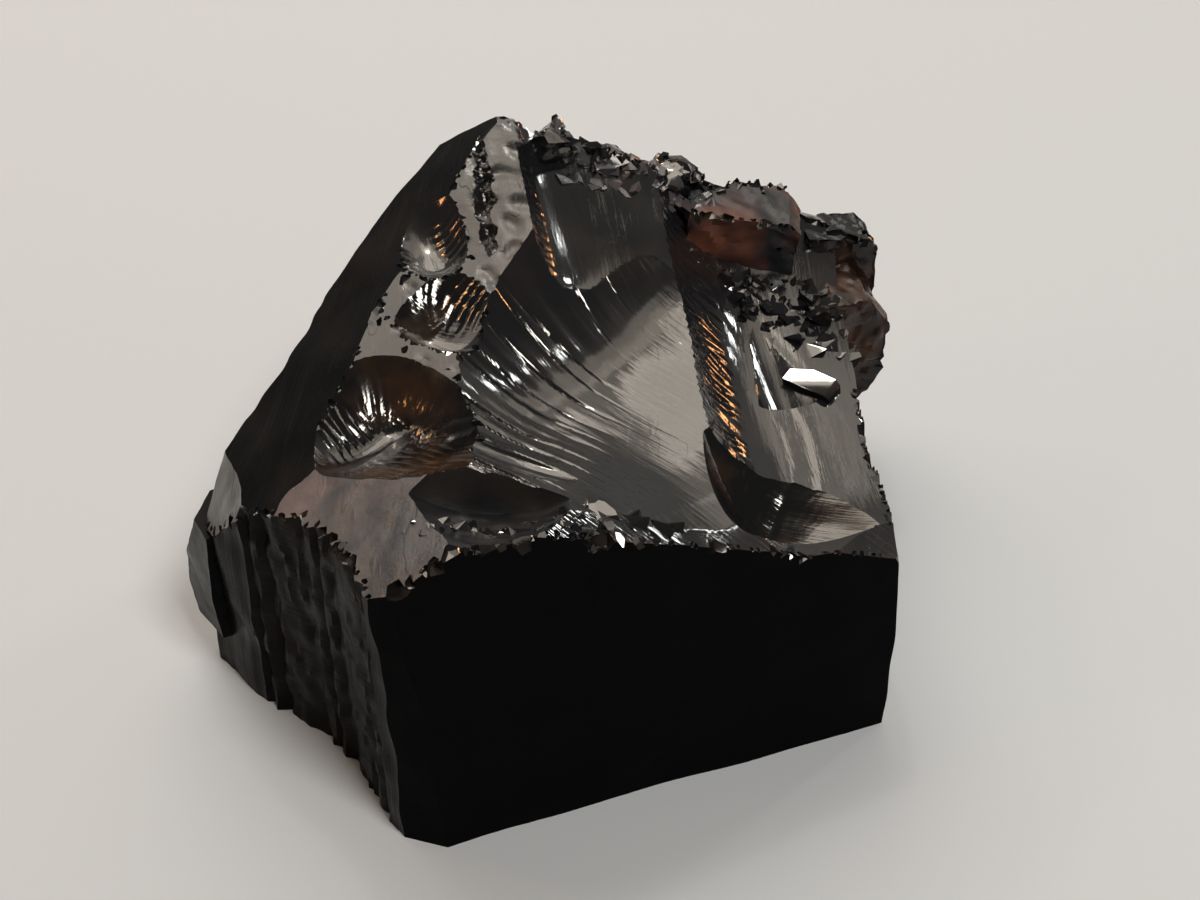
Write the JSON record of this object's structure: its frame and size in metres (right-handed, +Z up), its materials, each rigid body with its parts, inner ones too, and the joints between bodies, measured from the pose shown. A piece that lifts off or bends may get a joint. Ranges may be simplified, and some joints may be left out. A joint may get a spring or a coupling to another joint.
{
  "type": "shungite stone",
  "caption": "Rough lump of glassy black elite shungite: flat cleaved faces, a hollowed top of shell-shaped fractures, a raised back corner and a flat base to stand on.",
  "frame": {"origin": "middle of the flat base, on the surface that the stone stands on", "axes": "+Z up, out of the base; +Y from the flat front face towards the raised back; +X to the right when the front face is looked at"},
  "size_m": [0.0507, 0.0495, 0.0299],
  "materials": {
    "shungite": "near-black natural carbon with a glassy to half-metallic lustre: mirror-like on the curved fractures, matt on the flat front face"
  },
  "bodies": {
    "root": {"shungite_stone": "shungite"}
  },
  "joints": []
}
